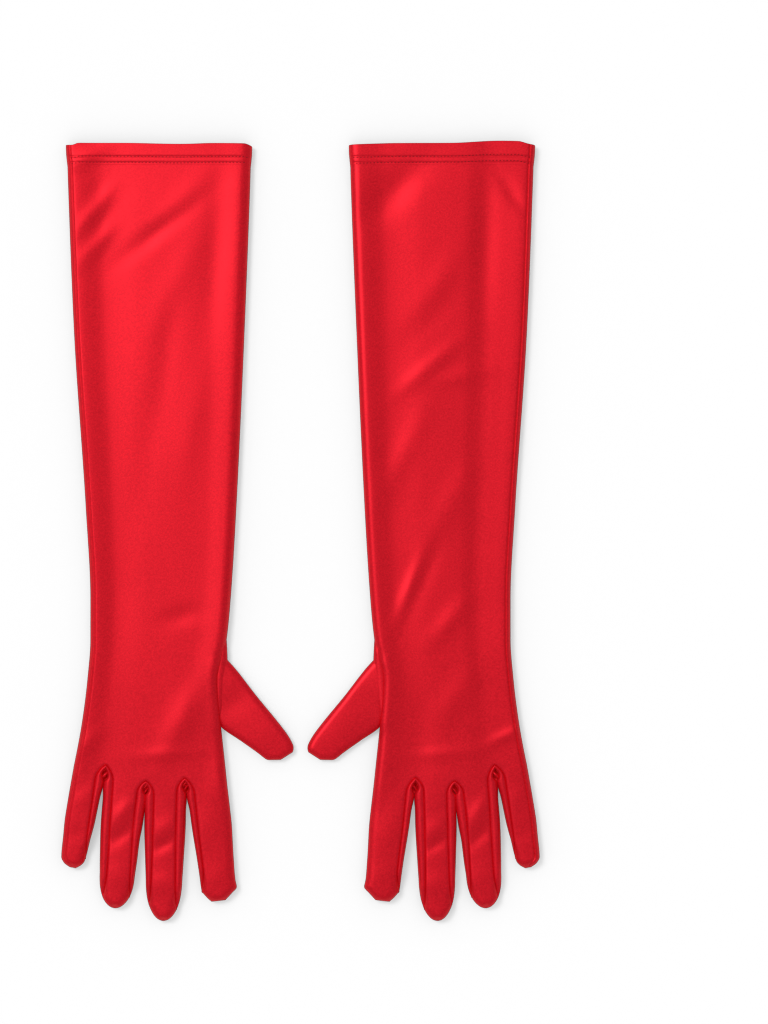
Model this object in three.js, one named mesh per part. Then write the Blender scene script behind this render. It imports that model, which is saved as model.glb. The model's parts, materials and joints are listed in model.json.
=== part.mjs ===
// A pair of elbow-length opera gloves in red stretch satin. They lie flat on a table side by side, backs up,
// with the cuffs towards +Y, the fingers towards -Y and the two thumbs pointing at each other.
//
// Each glove is a flattened, hollow tube of cloth: a back panel that folds round the thumb-side edge, a palm
// panel that wraps round the little-finger edge up to the side seam, side strips (fourchettes) between the
// fingers, and a thumb that is set into a hole in the palm. Both gloves come from the same pattern, and the
// left one is its mirror image. Millimetres, +Z up. The origin is on the table, under the middle of the pair.
import * as THREE from "three";

// ---- Cloth and clearances --------------------------------------------------------------------------------
const FABRIC = 0.7; // thickness of the stretch satin
const SEAM_GAP = 0.3; // what two sewn edges leave between them
const LOFT = 8.5; // height of the flattened sleeve, hand and fingers above the table
const HINGE_CLEARANCE = 1.1; // what a piece that bends keeps clear of the edge it bends against
const ARC_STEPS = 5; // facets round a rolled edge

// ---- Sleeve and hand ----------------------------------------------------------------------------------------
const SLEEVE_LENGTH = 298; // cuff edge to wrist
const SLEEVE_FOLD = 149; // the fold that halves the sleeve when the glove is put away, above the wrist
const CUFF_WIDTH = 111;
const FOREARM_WIDTH = 102.2; // 110 mm below the cuff
const LOWER_FOREARM_WIDTH = 90; // 78 mm above the wrist
const WRIST_WIDTH = 81.8;
const PALM_WIDTH = 79.6; // across the thumb root
const HAND_LENGTH = 87; // wrist to the knuckle of the index finger
const KNUCKLE_RISE = 11.5; // how much nearer to the wrist the knuckle of the little finger is
const KNUCKLE_SHIFT = -4.9; // the hand leans to the little-finger side by this much at the knuckles
const SEAM_ALLOWANCE = 5; // width of the raw edges inside the side seam

// ---- Cuff hem -------------------------------------------------------------------------------------------------
const HEM_DEPTH = 13; // turned-in facing
const HEM_GAP = 0.3; // between the facing and the sleeve around it
const LOWER_ROW = 11.4; // lower row of stitches, down from the cuff edge
const TWIN_NEEDLE = 3.6; // spacing of the two rows of stitches
const THREAD = 0.5; // width and height of a row of thread

// ---- Fingers: width at the knuckle, width where the tip starts, length, and splay in degrees. A tip's ---------
// ---- roundness is 2 for an ellipse and more for a blunter end ---------------------------------------------------
const FINGER_GAP = 0.8;
const TIP_LENGTH = 13; // length of the rounded end
const FINGERS = [
  { name: "little", width: 19, tipWidth: 15.4, length: 61.5, splay: -10.5, roundness: 2.2 },
  { name: "ring", width: 23.4, tipWidth: 21, length: 82, splay: -4.5, roundness: 2 },
  { name: "middle", width: 23, tipWidth: 21.6, length: 86.4, splay: -1, roundness: 2 },
  { name: "index", width: 24.4, tipWidth: 21.6, length: 71.5, splay: 6.7, roundness: 3.4 },
];
const FORK_RADIUS = 3.6; // the fold of a fourchette between two fingers

// ---- Thumb ----------------------------------------------------------------------------------------------------
const THUMB_LOFT = 6.4; // lower than the hand, because its root lies under the back panel
const THUMB_MOUTH_TOP = 12; // where it leaves the hand's edge, down from the wrist
const THUMB_MOUTH_LENGTH = 40;
const THUMB_LENGTH = 55;
const THUMB_ANGLE = -44.5; // degrees from +X, so it points out and towards the fingers
const THUMB_TIP_WIDTH = 20.8;
const THUMB_ROUNDNESS = 3.4;
const THUMB_TUCK = 5; // how far its root reaches in under the back panel
const THUMB_HOLE_DEPTH = 17; // the thumb hole in the palm, in from the hand's edge
const THUMB_HOLE_ABOVE = 4; // what the hole leaves clear, above and below the thumb
const THUMB_HOLE_BELOW = 10;
const THUMB_CURL = 35; // degrees of rolled edge that the back panel keeps over the thumb

// ---- The pair -------------------------------------------------------------------------------------------------
const GLOVE_SPACING = 170.7; // wrist centre to wrist centre

const SATIN = new THREE.MeshStandardMaterial({ color: 0xcf0a1c, roughness: 0.42, metalness: 0 });
const LINING = new THREE.MeshStandardMaterial({ color: 0xa80818, roughness: 0.8, metalness: 0 });
const STITCHING = new THREE.MeshStandardMaterial({ color: 0xb00617, roughness: 0.6, metalness: 0 });

const radians = THREE.MathUtils.degToRad;
const lerp = THREE.MathUtils.lerp;

// ---- A flattened tube and the panels that it is sewn from -----------------------------------------------------
// A station is one cross-section: a stadium that stands on `base` between two points of the table, `left` and
// `right`. Looking from the cuff to the fingertips, a panel runs clockwise round it. Each point of a panel's
// section is [distance from the left point, height, outward normal across, outward normal up].

const widthOf = (s) => s.left.distanceTo(s.right);

function flat(s, from, to, up) {
  const z = up > 0 ? s.height : 0;
  return [from, to].map((q) => [q, z, 0, up]);
}

function rolledEdge(s, side, from, to) {
  const radius = s.height / 2;
  const centre = side > 0 ? widthOf(s) - radius : radius;
  const points = [];
  for (let i = 0; i <= ARC_STEPS; i++) {
    const a = radians(lerp(from, to, i / ARC_STEPS));
    const across = side * Math.sin(a);
    points.push([centre + radius * across, radius + radius * Math.cos(a), across, Math.cos(a)]);
  }
  return points;
}

// What half a seam gap takes off a rolled edge, in degrees.
const seamTrim = (s) => THREE.MathUtils.radToDeg(SEAM_GAP / s.height);

// The back of a tube: its top, and the roll down its right edge where the cloth folds over.
function backSection(s) {
  const radius = s.height / 2;
  const start = radius + SEAM_GAP / 2;
  const end = widthOf(s) - radius;
  if (!s.folds) return flat(s, start, end - SEAM_GAP / 2, 1);
  return [flat(s, start, end, 1)[0], ...rolledEdge(s, 1, 0, s.curl ?? 180)];
}

// The palm of a tube: its underside, and the roll up its left edge to the seam at the top of the roll.
function palmSection(s) {
  const radius = s.height / 2;
  const start = widthOf(s) - radius - SEAM_GAP - (s.hole ?? 0);
  if (!s.wraps) return flat(s, start, radius + SEAM_GAP / 2, -1);
  return [flat(s, start, radius, -1)[0], ...rolledEdge(s, -1, 180, seamTrim(s))];
}

// A strip that goes all the way round, from the side seam back to it.
const bandSection = (s) => [...backSection(s), ...rolledEdge(s, -1, 180, seamTrim(s))];

const leftWallSection = (s) => rolledEdge(s, -1, 180 - seamTrim(s), seamTrim(s));
const rightWallSection = (s) => rolledEdge(s, 1, seamTrim(s), 180 - seamTrim(s));

// Sweeps a panel's section through the stations, and closes it into a solid one cloth thick.
function panel(name, material, stations, section) {
  const rings = stations.map((s) => {
    const across = s.right.clone().sub(s.left).normalize();
    const place = ([q, z, normalAcross, normalUp], depth) => {
      const foot = s.left.clone().addScaledVector(across, q - normalAcross * depth);
      return [foot.x, foot.y, s.base + z - normalUp * depth];
    };
    const outline = section(s);
    return [...outline.map((p) => place(p, 0)), ...outline.reverse().map((p) => place(p, FABRIC))];
  });
  const size = rings[0].length;
  const faces = [];
  const quad = (a, b, c, d) => faces.push(a, c, b, a, d, c);
  for (let r = 0; r + 1 < rings.length; r++) {
    for (let i = 0; i < size; i++) {
      const next = (i + 1) % size;
      quad(r * size + i, r * size + next, (r + 1) * size + next, (r + 1) * size + i);
    }
  }
  const last = (rings.length - 1) * size;
  for (let i = 0; i + 1 < size / 2; i++) {
    const under = size - 1 - i;
    quad(i, under, under - 1, i + 1);
    quad(last + i, last + i + 1, last + under - 1, last + under);
  }
  const geometry = new THREE.BufferGeometry();
  geometry.setAttribute("position", new THREE.Float32BufferAttribute(rings.flat(2), 3));
  geometry.setIndex(faces);
  geometry.computeVertexNormals();
  return named(name, geometry, material);
}

function named(name, geometry, material) {
  const mesh = new THREE.Mesh(geometry, material);
  mesh.name = name;
  return mesh;
}

// ---- Outline of the sleeve and hand ---------------------------------------------------------------------------
// y is 0 at the wrist and SLEEVE_LENGTH at the cuff. The knuckle line is slanted, and the fingers fill it.
const KNUCKLE_WIDTH =
  FINGERS.reduce((sum, finger) => sum + finger.width, 0) + FINGER_GAP * (FINGERS.length - 1);
const KNUCKLE_SLOPE = -Math.asin(KNUCKLE_RISE / KNUCKLE_WIDTH);
const knuckleAcross = new THREE.Vector2(Math.cos(KNUCKLE_SLOPE), Math.sin(KNUCKLE_SLOPE));
const knuckleLeft = new THREE.Vector2(
  KNUCKLE_SHIFT - (KNUCKLE_WIDTH / 2) * knuckleAcross.x,
  KNUCKLE_RISE - HAND_LENGTH,
);
const knuckleRight = knuckleLeft.clone().addScaledVector(knuckleAcross, KNUCKLE_WIDTH);

const THUMB_BOTTOM = THUMB_MOUTH_TOP + THUMB_MOUTH_LENGTH;
// Each row is y, width and middle.
const WIDTHS = [
  [SLEEVE_LENGTH, CUFF_WIDTH, 0.3],
  [SLEEVE_LENGTH - 110, FOREARM_WIDTH, 0.4],
  [78, LOWER_FOREARM_WIDTH, 1.6],
  [0, WRIST_WIDTH, 0.2],
  [(-THUMB_MOUTH_TOP - THUMB_BOTTOM) / 2, PALM_WIDTH, -4],
];

function edgeCurve(side, knuckle) {
  const rows = WIDTHS.map(([y, width, middle]) => new THREE.Vector2(middle + (side * width) / 2, y));
  return new THREE.SplineCurve([...rows, knuckle]).getPoints(120);
}
const leftEdge = edgeCurve(-1, knuckleLeft);
const rightEdge = edgeCurve(1, knuckleRight);

// The point of an edge at height y.
function edgeAt(edge, y) {
  const found = edge.findIndex((p) => p.y <= y);
  const after = found < 0 ? edge.length - 1 : Math.max(1, found);
  const [a, b] = [edge[after - 1], edge[after]];
  return new THREE.Vector2(lerp(a.x, b.x, THREE.MathUtils.clamp((y - a.y) / (b.y - a.y), 0, 1)), y);
}

const TRANK = { base: 0, height: LOFT, folds: true, wraps: true };

const sleeveStation = (y) => ({ left: edgeAt(leftEdge, y), right: edgeAt(rightEdge, y), ...TRANK });

// Hand stations slant more and more towards the knuckle line. y is where one meets the thumb-side edge.
function handStation(y, extra = {}) {
  const leftY = (y * (HAND_LENGTH - KNUCKLE_RISE)) / HAND_LENGTH;
  return { left: edgeAt(leftEdge, leftY), right: edgeAt(rightEdge, y), ...TRANK, ...extra };
}

// The same station for a layer that lies inside the cloth by `depth`.
function insideStation(s, depth) {
  const across = s.right.clone().sub(s.left).normalize();
  return {
    ...s,
    left: s.left.clone().addScaledVector(across, depth),
    right: s.right.clone().addScaledVector(across, -depth),
    base: s.base + depth,
    height: s.height - 2 * depth,
  };
}

const between = (from, to, steps) => Array.from({ length: steps + 1 }, (_, i) => lerp(from, to, i / steps));

// ---- Sleeve ---------------------------------------------------------------------------------------------------
// Bending pieces start this far past the middle of the bend, so that they turn a right angle without touching.
const BEND_HALF = LOFT / 2 + HINGE_CLEARANCE;

function upperSleeve(side) {
  const end = SLEEVE_FOLD + SEAM_GAP / 2;
  const stations = between(SLEEVE_LENGTH, end, 4).map(sleeveStation);
  const facing = between(SLEEVE_LENGTH - SEAM_GAP, SLEEVE_LENGTH - HEM_DEPTH, 2).map((y) =>
    insideStation(sleeveStation(y), FABRIC + HEM_GAP),
  );
  return [
    panel(`${side}_upper_sleeve_back`, SATIN, stations, backSection),
    panel(`${side}_upper_sleeve_palm`, SATIN, stations, palmSection),
    panel(`${side}_hem_facing`, LINING, facing, bandSection),
    hemThread(`${side}_hem_thread_upper`, LOWER_ROW - TWIN_NEEDLE),
    hemThread(`${side}_hem_thread_lower`, LOWER_ROW),
    seamAllowance(`${side}_upper_seam_allowance`, SLEEVE_LENGTH - HEM_DEPTH - HEM_GAP, end),
  ];
}

function lowerSleeve(side) {
  const start = SLEEVE_FOLD - SEAM_GAP / 2;
  const stations = between(start, SEAM_GAP, 4).map(sleeveStation);
  return [
    panel(`${side}_lower_sleeve_back`, SATIN, stations, backSection),
    panel(`${side}_lower_sleeve_palm`, SATIN, stations, palmSection),
    seamAllowance(`${side}_lower_seam_allowance`, start, SEAM_GAP),
  ];
}

// The overlocked raw edges of the side seam: two cloths thick, lying flat under the seam.
function seamAllowance(name, fromY, toY) {
  const thickness = 2 * FABRIC;
  const seam = between(fromY, toY, 4).map((y) => edgeAt(leftEdge, y).add(new THREE.Vector2(LOFT / 2, 0)));
  const rawEdge = seam.map((p) => p.clone().add(new THREE.Vector2(SEAM_ALLOWANCE, 0)));
  const shape = new THREE.Shape([...seam, ...rawEdge.reverse()]);
  const geometry = new THREE.ExtrudeGeometry(shape, { depth: thickness, bevelEnabled: false });
  return named(name, geometry.translate(0, 0, LOFT - FABRIC - SEAM_GAP - thickness), LINING);
}

// One row of stitches across the back of the cuff.
function hemThread(name, drop) {
  const y = SLEEVE_LENGTH - drop;
  const from = edgeAt(leftEdge, y).x + LOFT / 2 + SEAM_GAP;
  const to = edgeAt(rightEdge, y).x - LOFT / 2;
  const geometry = new THREE.BoxGeometry(to - from, THREAD, THREAD);
  return named(name, geometry.translate((from + to) / 2, y, LOFT + SEAM_GAP + THREAD / 2), STITCHING);
}

// ---- Hand -----------------------------------------------------------------------------------------------------
function hand(side) {
  const holeTop = THUMB_HOLE_ABOVE - THUMB_MOUTH_TOP;
  const holeBottom = -THUMB_BOTTOM - THUMB_HOLE_BELOW;
  const open = { curl: THUMB_CURL, hole: THUMB_HOLE_DEPTH };
  const corner = 0.8; // length of the hole's slanted corners
  const stations = [
    handStation(-BEND_HALF),
    handStation(holeTop),
    handStation(holeTop - corner, open),
    handStation((holeTop + holeBottom) / 2, open),
    handStation(holeBottom + corner, open),
    handStation(holeBottom),
    handStation(SEAM_GAP - HAND_LENGTH),
  ];
  const forks = fingerRoots()
    .slice(0, -1)
    .map((root, i) => {
      const crotch = root.addScaledVector(knuckleAcross, (FINGERS[i].width + FINGER_GAP) / 2);
      return fourchetteFork(`${side}_fourchette_fork_${FINGERS[i].name}_${FINGERS[i + 1].name}`, crotch);
    });
  return [
    panel(`${side}_hand_back`, SATIN, stations, backSection),
    panel(`${side}_hand_palm`, SATIN, stations, palmSection),
    ...forks,
  ];
}

// The fold of a fourchette between two fingers: an arch, open towards the fingertips.
function fourchetteFork(name, crotch) {
  const inner = FORK_RADIUS - FABRIC;
  const shape = new THREE.Shape();
  shape.absarc(0, 0, FORK_RADIUS, 0, Math.PI, false);
  shape.absarc(0, 0, inner, Math.PI, 0, true);
  const clearance = FABRIC + SEAM_GAP;
  const depth = LOFT - 2 * clearance;
  const geometry = new THREE.ExtrudeGeometry(shape, { depth, bevelEnabled: false, curveSegments: 8 });
  geometry.rotateZ(KNUCKLE_SLOPE);
  return named(name, geometry.translate(crotch.x, crotch.y + SEAM_GAP, clearance), SATIN);
}

// ---- Fingers --------------------------------------------------------------------------------------------------
function fingerRoots() {
  let along = 0;
  return FINGERS.map(({ width }) => {
    const root = knuckleLeft.clone().addScaledVector(knuckleAcross, along + width / 2);
    along += width + FINGER_GAP;
    return root;
  });
}

// Which way a finger or thumb points, and which way is across it, from the little-finger side.
function headingAt(degrees) {
  const heading = new THREE.Vector2(Math.cos(radians(degrees)), Math.sin(radians(degrees)));
  return { heading, across: new THREE.Vector2(-heading.y, heading.x) };
}

// The blunt, closing end of a finger or thumb, whose centre line starts at `origin`.
function tipStations(origin, { heading, across }, length, width, height, roundness, sewn) {
  return [0, 0.5, 0.8, 0.93, 0.98].map((share) => {
    const shrink = (1 - share ** roundness) ** (1 / roundness);
    const centre = origin.clone().addScaledVector(heading, length - (1 - share) * TIP_LENGTH);
    const loft = Math.min(height * Math.max(shrink, 0.4), 0.7 * width * shrink);
    return {
      left: centre.clone().addScaledVector(across, (-shrink * width) / 2),
      right: centre.clone().addScaledVector(across, (shrink * width) / 2),
      base: (height - loft) / 2,
      height: loft,
      ...sewn,
    };
  });
}

function finger(side, spec, i, root) {
  const { name, width, tipWidth, length, splay, roundness } = spec;
  const direction = headingAt(splay - 90);
  const knuckle = root.clone().addScaledVector(direction.heading, BEND_HALF);
  const sewn = { folds: i === FINGERS.length - 1, wraps: i === 0 };
  const stations = [
    {
      left: knuckle.clone().addScaledVector(direction.across, -width / 2),
      right: knuckle.clone().addScaledVector(direction.across, width / 2),
      base: 0,
      height: LOFT,
      ...sewn,
    },
    ...tipStations(root, direction, length, tipWidth, LOFT, roundness, sewn),
  ];
  const pieces = [
    panel(`${side}_${name}_back`, SATIN, stations, backSection),
    panel(`${side}_${name}_palm`, SATIN, stations, palmSection),
  ];
  const wall = (neighbour) => `${side}_${name}_fourchette_by_${neighbour.name}`;
  if (!sewn.wraps) pieces.push(panel(wall(FINGERS[i - 1]), SATIN, stations, leftWallSection));
  if (!sewn.folds) pieces.push(panel(wall(FINGERS[i + 1]), SATIN, stations, rightWallSection));
  return pieces;
}

// ---- Thumb ----------------------------------------------------------------------------------------------------
function thumb(side) {
  const sewn = { folds: true, wraps: true };
  const mouth = {
    left: edgeAt(rightEdge, -THUMB_BOTTOM),
    right: edgeAt(rightEdge, -THUMB_MOUTH_TOP),
    base: 0,
    height: THUMB_LOFT,
    ...sewn,
  };
  const middle = mouth.left.clone().lerp(mouth.right, 0.5);
  const inwards = new THREE.Vector2(-THUMB_TUCK, 0);
  const tucked = { ...mouth, left: mouth.left.clone().add(inwards), right: mouth.right.clone().add(inwards) };
  const direction = headingAt(THUMB_ANGLE);
  const stations = [
    tucked,
    mouth,
    ...tipStations(middle, direction, THUMB_LENGTH, THUMB_TIP_WIDTH, THUMB_LOFT, THUMB_ROUNDNESS, sewn),
  ];
  return [
    panel(`${side}_thumb_back`, SATIN, stations, backSection),
    panel(`${side}_thumb_palm`, SATIN, stations, palmSection),
  ];
}

// ---- Assembly -------------------------------------------------------------------------------------------------
function glove(side) {
  const group = new THREE.Group();
  group.add(...upperSleeve(side), ...lowerSleeve(side), ...hand(side), ...thumb(side));
  const roots = fingerRoots();
  FINGERS.forEach((spec, i) => group.add(...finger(side, spec, i, roots[i])));
  return group;
}

const right = glove("right");
right.position.x = -GLOVE_SPACING / 2;
const left = glove("left");
left.scale.x = -1;
left.position.x = GLOVE_SPACING / 2;

const pair = new THREE.Group();
pair.add(right, left);
pair.position.y = -new THREE.Box3().setFromObject(pair).getCenter(new THREE.Vector3()).y;
export default pair;
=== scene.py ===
import json
import math

import bmesh
import bpy
import numpy as np
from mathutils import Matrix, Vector


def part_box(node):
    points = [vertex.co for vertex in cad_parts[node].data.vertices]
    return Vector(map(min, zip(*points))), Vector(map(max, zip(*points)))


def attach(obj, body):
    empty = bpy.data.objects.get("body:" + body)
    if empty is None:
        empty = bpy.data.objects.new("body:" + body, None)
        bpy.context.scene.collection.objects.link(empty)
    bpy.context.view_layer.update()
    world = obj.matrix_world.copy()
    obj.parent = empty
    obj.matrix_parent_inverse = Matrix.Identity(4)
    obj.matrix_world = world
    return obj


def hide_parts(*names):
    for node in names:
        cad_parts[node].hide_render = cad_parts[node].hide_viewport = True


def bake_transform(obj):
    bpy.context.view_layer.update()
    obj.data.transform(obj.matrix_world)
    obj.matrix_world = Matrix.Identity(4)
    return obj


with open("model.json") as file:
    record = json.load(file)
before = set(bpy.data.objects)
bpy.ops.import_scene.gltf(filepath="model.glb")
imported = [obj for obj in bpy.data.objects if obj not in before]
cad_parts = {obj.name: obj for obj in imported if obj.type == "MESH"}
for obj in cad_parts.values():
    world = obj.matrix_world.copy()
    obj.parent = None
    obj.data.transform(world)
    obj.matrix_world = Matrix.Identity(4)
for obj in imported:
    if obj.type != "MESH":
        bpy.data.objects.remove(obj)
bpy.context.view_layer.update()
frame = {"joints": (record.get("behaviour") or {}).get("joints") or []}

MM = 0.001

# ---- Camera, lamps and table ---------------------------------------------------------------------
# The pair lies on a white table, under a camera that looks straight down. A large soft lamp stands
# beyond the cuffs on the left, so the soft shadows fall to the right and towards the fingertips.
VIEW_CENTRE = Vector((50.2, 12.2, 0)) * MM
VIEW_HEIGHT = 617 * MM
FOCAL_LENGTH = 100
SENSOR = 36
LAMP_TINT = (1, 0.985, 0.97)
LIGHT_ON_GLOVES, LIGHT_BEHIND = 0.44, 1  # strength of the white surroundings
TABLE_HALF_WIDTH = 3

camera_data = bpy.data.cameras.new("camera")
camera_data.lens = FOCAL_LENGTH
camera_data.sensor_fit = "VERTICAL"
camera_data.sensor_height = SENSOR
camera = bpy.data.objects.new("camera", camera_data)
camera.location = VIEW_CENTRE + Vector((0, 0, VIEW_HEIGHT * FOCAL_LENGTH / SENSOR))
bpy.context.scene.collection.objects.link(camera)
bpy.context.scene.camera = camera


def soft_lamp(name, place, size, watts, colour, shadows=True):
    data = bpy.data.lights.new(name, "AREA")
    data.shape = "DISK"
    data.size = size
    data.energy = watts
    data.color = colour
    data.use_shadow = shadows
    lamp = bpy.data.objects.new(name, data)
    lamp.location = place
    lamp.rotation_euler = (-Vector(place)).to_track_quat("-Z", "Y").to_euler()
    bpy.context.scene.collection.objects.link(lamp)


soft_lamp("key_lamp", (-1.4, 1.05, 2.7), 1.2, 20, LAMP_TINT)
soft_lamp("sheen_lamp", (-1.3, 0.9, 2.7), 1.2, 18.5, LAMP_TINT, shadows=False)

world = bpy.data.worlds.new("studio")
world.use_nodes = True
backdrop = world.node_tree.nodes["Background"]
backdrop.inputs["Color"].default_value = (1, 1, 1, 1)
seen = world.node_tree.nodes.new("ShaderNodeLightPath")
strength = world.node_tree.nodes.new("ShaderNodeMapRange")
strength.inputs["To Min"].default_value = LIGHT_ON_GLOVES
strength.inputs["To Max"].default_value = LIGHT_BEHIND
world.node_tree.links.new(seen.outputs["Is Camera Ray"], strength.inputs["Value"])
world.node_tree.links.new(strength.outputs["Result"], backdrop.inputs["Strength"])
bpy.context.scene.world = world
bpy.context.scene.view_settings.view_transform = "Standard"


def new_object(name, bm, material):
    mesh = bpy.data.meshes.new(name)
    bm.to_mesh(mesh)
    bm.free()
    mesh.materials.append(material)
    mesh.shade_smooth()
    made = bpy.data.objects.new(name, mesh)
    bpy.context.scene.collection.objects.link(made)
    return made


white = bpy.data.materials.new("white_table")
white.use_nodes = True
paint = white.node_tree.nodes["Principled BSDF"]
paint.inputs["Base Color"].default_value = (0.95, 0.95, 0.95, 1)
paint.inputs["Roughness"].default_value = 0.8
bm = bmesh.new()
bmesh.ops.create_grid(bm, x_segments=1, y_segments=1, size=TABLE_HALF_WIDTH)
table = new_object("table", bm, white)
table.is_shadow_catcher = True

# ---- Trank of the sleeve -------------------------------------------------------------------------
# One piece of stretch satin makes the back and the palm. It is folded at the thumb-side edge, and
# sewn shut along the little-finger side, where the seam shows 3 mm in from the edge on the back.

# Sizes are in millimetres in the frame of one glove: across runs from the little-finger side to the
# thumb side, along runs from the wrist, at 0, up to the cuff. The left glove is the mirror image.
JOINTS = {joint["name"]: joint for joint in frame["joints"]}
WRIST = Vector(JOINTS["right_wrist_bend"]["pos_m"])
CUFF = (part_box("right_upper_sleeve_back")[1].y - WRIST.y) / MM
SLEEVE_END = 75  # where the mesh of the sleeve ends and that of the hand begins
MIRROR = {"right": 1, "left": -1}

SLEEVE_MIDDLE, SLEEVE_LOFT = 3.9, 3.7  # middle height of the tube and half its depth
HAND_MIDDLE, HAND_LOFT = 4.25, 4.1
ROLL = 4.3  # how far from a folded edge the cloth takes to reach the full loft
WALL = 0.45
MERGE = 0.02  # points closer than this are one
SEAM_FROM_EDGE = 3.0
SEAM_DEPTH = {"right": 0.45, "left": 0.75}
SEAM_HALF_WIDTH = 0.4
SEWN_LEVEL, SEWN_REACH = 0.62, 1.2  # how high a sewn edge stays, and how far its valley reaches

# The hem, measured down from the cuff's edge.
HEM_DEPTH = 13
STITCH_ROWS = {"upper": 7.8, "lower": 11.4}
STITCH_GROOVE, PALM_GROOVE, GROOVE_HALF_WIDTH = 0.3, 0.2, 0.5
HEM_STEP, HEM_STEP_BELOW = 0.25, 12.6  # the doubled cloth of the hem stands a little higher
HEM_FLARE, HEM_PINCH, HEM_MIDDLE = 0.6, 0.3, 9.6  # wider than the sleeve, drawn in by stitches
HEM_SHOWS_TO = 14

# The edge of the back over the thumb's root is lifted and thinner.
THUMB_LIFT, THUMB_THINNING, THUMB_REACH = 1.9, 1.2, 4.5

EDGE_ROWS = [-87, -75.5, -48, -24, 0, 24, 78, 186, CUFF - HEM_DEPTH, CUFF]
LITTLE_EDGE = [-53.6, -50.9, -45.8, -42.8, -41.0, -41.0, -43.7, -50.9, -54.8, -55.2]
THUMB_EDGE = [41.0, 39.8, 37.0, 35.4, 40.6, 43.0, 46.4, 51.4, 55.1, 55.4]
KNUCKLES_ACROSS = np.array([-50.9, -31.4, -7.4, 16.0, 41.0])  # edge, three crotches, edge
KNUCKLES_ALONG = np.array([-75.5, -75.0, -84.6, -82.8, -87.0])
STRIPS = (KNUCKLES_ACROSS - KNUCKLES_ACROSS[0]) / (KNUCKLES_ACROSS[-1] - KNUCKLES_ACROSS[0])
STRIP_COLUMNS = 18
EDGE_COLUMNS = [0, 0.12, 0.45, 0.95, 1.5, 2.05, 2.4, 2.62, 2.8, 2.93, 3.07, 3.2, 3.38, 3.6, 4.0]

# Soft folds: across, along, turn in degrees, half length, half width, rise.
FOLDS = {
    "right": [
        (-45, 288, 28, 14, 5, 0.7),
        (-38, 258, 52, 15, 4.5, 0.9),
        (-37, 237, 50, 13, 4.5, 0.8),
        (1, 246, 38, 26, 5, -0.8),
        (14, 262, 50, 24, 7, 0.35),
        (34, 228, 84, 50, 8, -0.5),
        (10, 214, 66, 30, 8, 0.35),
        (4, 165, 84, 42, 7, -0.4),
        (20, 130, 80, 40, 8, 0.35),
        (-8, 110, 86, 36, 8, -0.3),
        (13, 14, 15, 11, 5.5, -0.5),
        (42, 22, 88, 44, 11, 0.6),
        (14, -48, 64, 26, 8, 1.1),
        (32, -66, 80, 24, 8, -0.6),
        (-44, -63, 45, 13, 5, 0.6),
        (6, -68, 5, 20, 4, 0.4),
    ],
    "left": [
        (28, 270, 135, 27, 9, -1.0),
        (-42, 268, 55, 14, 3.5, -0.6),
        (-25, 235, 92, 45, 7, -0.5),
        (2, 214, 120, 22, 8, 0.45),
        (10, 190, 130, 22, 8, -0.35),
        (8, 164, 140, 22, 5, 0.65),
        (-10, 158, 170, 18, 5, 0.4),
        (24, 110, 116, 30, 7, 0.5),
        (-6, 84, 118, 26, 8, 0.5),
        (20, 30, 112, 22, 4, 0.9),
        (10, 40, 112, 20, 5, -0.5),
        (-4, 11, 130, 17, 6, 0.7),
        (-8, -34, 125, 20, 8, 0.6),
        (-39, -57, 155, 13, 3.5, 0.7),
        (13, -60, 92, 26, 10, -0.9),
        (0, -68, -5, 20, 4, 0.4),
    ],
}

# The height of the back across the sleeve, from the little-finger edge to the thumb-side edge.
CREST = {
    "right": ([0, 0.035, 0.19, 0.4, 0.6, 0.8, 0.945, 1], [0, 0.55, -0.95, -0.2, 0.05, 0.2, 0.9, 0]),
    "left": (
        [0, 0.05, 0.15, 0.25, 0.36, 0.6, 0.82, 0.965, 1],
        [0, 0.5, 0.0, -0.45, 0.2, 0, -0.95, 0.4, 0],
    ),
}
CREST_ON_HAND, CREST_AT_HEM = 0.6, 0.4  # what is left of the crest there


def smooth(x, xs, ys):
    """A smooth curve through the points (xs, ys), level beyond its ends."""
    xs, ys = np.asarray(xs, float), np.asarray(ys, float)
    rise = np.diff(ys) / np.diff(xs)
    before, after = rise[:-1], rise[1:]
    turn = before * after <= 0
    middle = np.where(turn, 0, 2 * before * after / np.where(turn, 1, before + after))
    slope = np.concatenate([rise[:1], middle, rise[-1:]])
    x = np.clip(x, xs[0], xs[-1])
    i = np.clip(np.searchsorted(xs, x) - 1, 0, len(xs) - 2)
    width = xs[i + 1] - xs[i]
    t = (x - xs[i]) / width
    start = (2 * t**3 - 3 * t**2 + 1) * ys[i] + (t**3 - 2 * t**2 + t) * width * slope[i]
    return start + (3 * t**2 - 2 * t**3) * ys[i + 1] + (t**3 - t**2) * width * slope[i + 1]


def ease(x):
    x = np.clip(x, 0, 1)
    return x * x * (3 - 2 * x)


def blend(a, b, t):
    return a + (b - a) * t


def dome(distance, reach):
    """Rises as a quarter circle, from 0 at an edge to 1 at reach from it."""
    return np.sqrt(np.clip(1 - (1 - np.clip(distance / reach, 0, 1)) ** 2, 0, 1))


def spread(count):
    """From 0 to 1, closer together at both ends."""
    return (1 - np.cos(np.linspace(0, math.pi, count))) / 2


def folds_at(folds, across, along):
    height = np.zeros(np.broadcast(across, along).shape)
    for centre_across, centre_along, turn, half_length, half_width, rise in folds:
        turn = math.radians(turn)
        dx, dy = across - centre_across, along - centre_along
        lengthwise = (dx * math.cos(turn) + dy * math.sin(turn)) / half_length
        crosswise = (dy * math.cos(turn) - dx * math.sin(turn)) / half_width
        height = height + rise * np.exp(-(lengthwise**2) - crosswise**2)
    return height


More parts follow.
